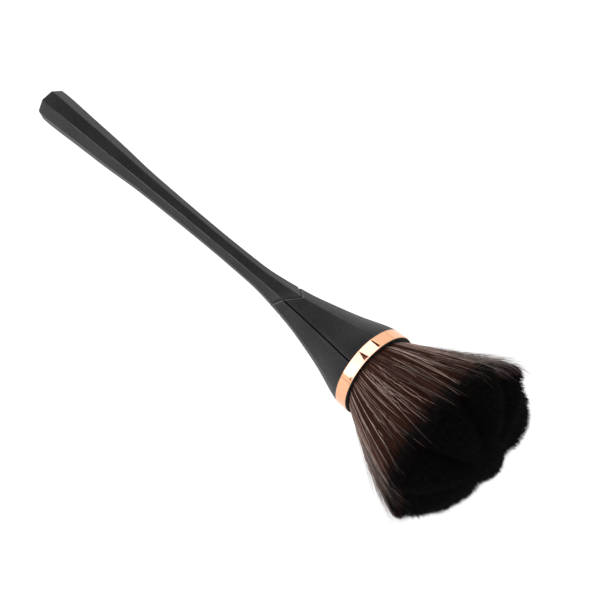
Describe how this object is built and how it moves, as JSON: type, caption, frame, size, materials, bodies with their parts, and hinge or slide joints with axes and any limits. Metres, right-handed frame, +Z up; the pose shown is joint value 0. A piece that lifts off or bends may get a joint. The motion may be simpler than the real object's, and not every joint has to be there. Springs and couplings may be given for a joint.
{
  "type": "neck duster brush",
  "caption": "Soft barber's neck duster with a slim-waisted octagonal handle, flared bell, rose-gold band and a lobed, domed bristle tuft.",
  "frame": {"origin": "centre of the bounding box on the ground plane that the lying brush rests on", "axes": "+X from the butt towards the bristles, +Z up; the brush's own axis is pitched up towards the bristles by about 6.1 degrees, as it lies on a table"},
  "size_m": [0.1796, 0.0468, 0.0464],
  "materials": {
    "black_plastic": "matte black moulded plastic with a fine grain",
    "collar_plastic": "satin black",
    "rose_gold": "polished, rose-gold anodised",
    "clear_glue": "cured amber epoxy",
    "thread": "twisted cotton thread",
    "bristle": "soft synthetic fibre, dark brown with black tips"
  },
  "bodies": {
    "root": {"stem": "black_plastic", "bell": "black_plastic", "seam_glue": "clear_glue", "rose_gold_ring": "rose_gold", "bristle_cup": "collar_plastic", "root_glue": "clear_glue", "binding_thread": "thread", "tuft_core": "bristle", "tuft_petal_1": "bristle", "tuft_petal_2": "bristle", "tuft_petal_3": "bristle", "tuft_petal_4": "bristle", "tuft_petal_5": "bristle", "tuft_petal_6": "bristle", "tuft_petal_7": "bristle", "tuft_petal_8": "bristle"}
  },
  "joints": []
}
